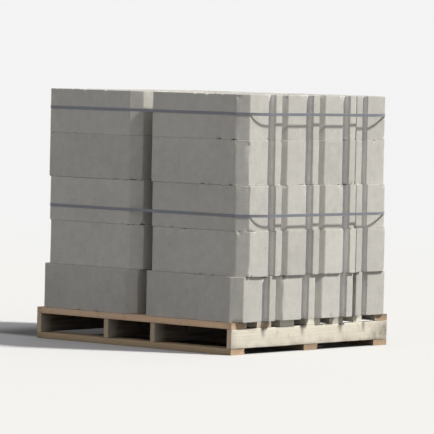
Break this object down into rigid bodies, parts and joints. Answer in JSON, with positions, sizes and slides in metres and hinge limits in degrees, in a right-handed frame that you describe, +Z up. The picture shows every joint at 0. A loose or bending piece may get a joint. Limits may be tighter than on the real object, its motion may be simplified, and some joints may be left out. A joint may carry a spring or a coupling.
{
  "type": "pallet of concrete blocks",
  "caption": "Hollow concrete blocks stacked in layers on a two-way wooden pallet and held by two steel straps, as delivered to a building site.",
  "frame": {"origin": "on the floor, under the middle of the load", "axes": "+X to the right along the front of the load, +Y from its front to its rear, +Z up"},
  "size_m": [1.2124, 1.059, 1.086],
  "materials": {
    "concrete": "pressed concrete, matt, with an open grain and small pits",
    "wood": "rough-sawn softwood, weathered, unpainted",
    "strap": "blued steel strapping, half gloss, with light scuffs"
  },
  "bodies": {
    "root": {"blocks_layer_1_row_1": "concrete", "blocks_layer_1_row_2": "concrete", "blocks_layer_1_row_3": "concrete", "blocks_layer_1_row_4": "concrete", "blocks_layer_2_row_1": "concrete", "blocks_layer_2_row_2": "concrete", "blocks_layer_2_row_3": "concrete", "blocks_layer_2_row_4": "concrete", "blocks_layer_3_row_1": "concrete", "blocks_layer_3_row_2": "concrete", "blocks_layer_3_row_3": "concrete", "blocks_layer_3_row_4": "concrete", "blocks_layer_4_row_1": "concrete", "blocks_layer_4_row_2": "concrete", "blocks_layer_4_row_3": "concrete", "blocks_layer_4_row_4": "concrete", "blocks_layer_5_row_1": "concrete", "blocks_layer_5_row_2": "concrete", "blocks_layer_5_row_3": "concrete", "blocks_layer_5_row_4": "concrete", "deck_board_1": "wood", "deck_board_2": "wood", "deck_board_3": "wood", "deck_board_4": "wood", "deck_board_5": "wood", "deck_board_6": "wood", "deck_board_7": "wood", "stringer_1": "wood", "stringer_2": "wood", "stringer_3": "wood", "stringer_4": "wood", "bottom_board_1": "wood", "bottom_board_2": "wood", "bottom_board_3": "wood", "strap_lower": "strap", "strap_upper": "strap"}
  },
  "joints": []
}
